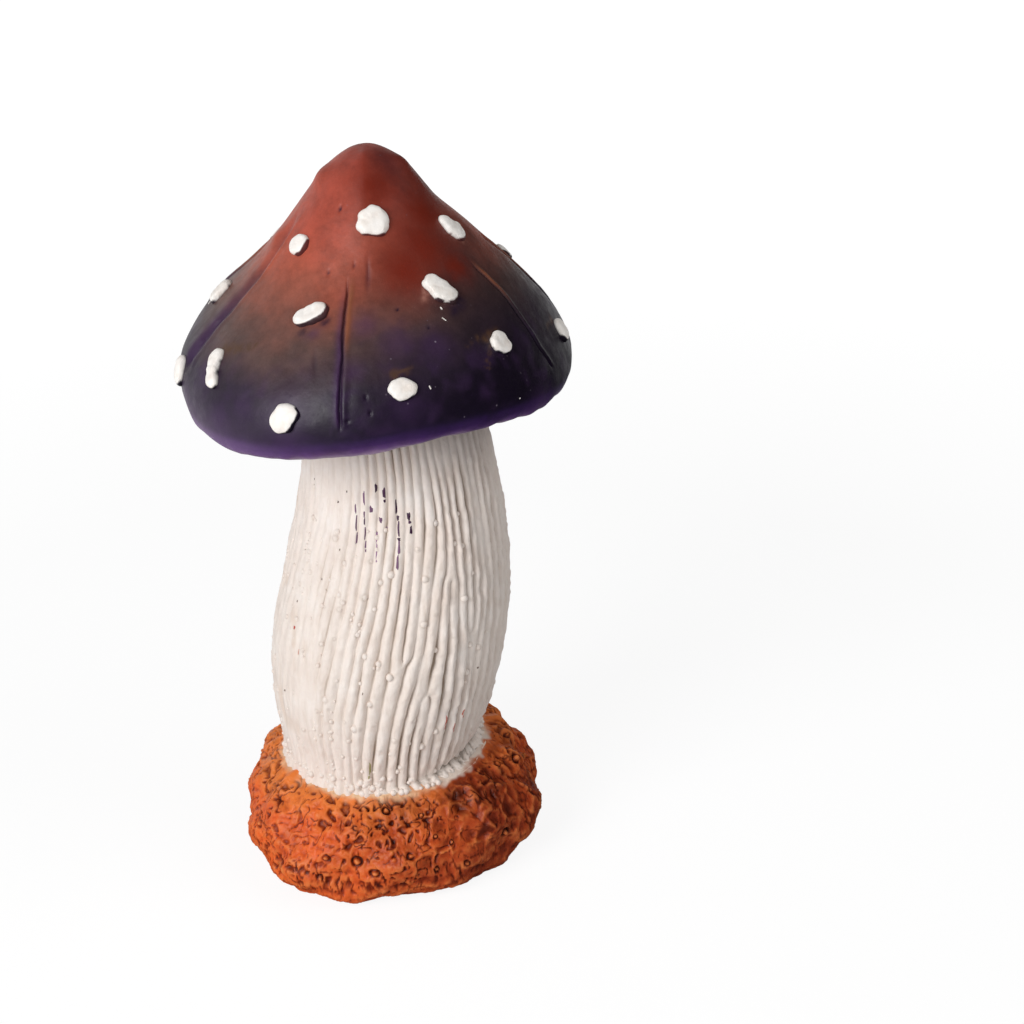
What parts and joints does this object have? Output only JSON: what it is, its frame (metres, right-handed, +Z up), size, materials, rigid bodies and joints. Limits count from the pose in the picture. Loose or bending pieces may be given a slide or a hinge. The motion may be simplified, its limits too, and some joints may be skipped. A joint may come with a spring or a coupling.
{
  "type": "aquarium mushroom ornament",
  "caption": "Free-standing toadstool ornament for a fish tank: craggy base, ribbed pale stem and peaked dark cap with raised white warts.",
  "frame": {"origin": "middle of the base's flat underside, on the floor", "axes": "+Z up from the floor to the cap's tip, front towards -Y, +X to the right of the front view"},
  "size_m": [0.0504, 0.0537, 0.0994],
  "materials": {
    "cap_paint": "airbrushed cast polyresin, satin, brick red at the tip through brown to violet at the rim",
    "wart_paint": "cast polyresin with thick brushed white paint, satin",
    "stem_paint": "ribbed cast polyresin painted cream white, satin, with a grey wash in the grooves",
    "base_paint": "rough cast polyresin painted rust orange with a dark brown wash, satin",
    "filler": "crinkled white filler, matt",
    "epoxy": "set epoxy glue, hidden inside the joints"
  },
  "bodies": {
    "root": {"base_mound": "base_paint", "foot_fillet": "filler", "foot_glue_sleeve": "epoxy", "stem": "stem_paint", "cap": "cap_paint", "neck_glue_sleeve": "epoxy", "white_wart_01": "wart_paint", "white_wart_02": "wart_paint", "white_wart_03": "wart_paint", "white_wart_04": "wart_paint", "white_wart_05": "wart_paint", "white_wart_06": "wart_paint", "white_wart_07": "wart_paint", "white_wart_08": "wart_paint", "white_wart_09": "wart_paint", "white_wart_10": "wart_paint", "white_wart_11": "wart_paint", "white_wart_12": "wart_paint", "white_wart_13": "wart_paint", "white_wart_14": "wart_paint", "white_wart_15": "wart_paint", "white_wart_16": "wart_paint", "white_wart_17": "wart_paint", "white_wart_18": "wart_paint", "white_wart_19": "wart_paint", "white_wart_20": "wart_paint", "white_wart_21": "wart_paint", "white_wart_22": "wart_paint", "bare_wart_01": "cap_paint", "bare_wart_02": "cap_paint", "bare_wart_03": "cap_paint"}
  },
  "joints": []
}
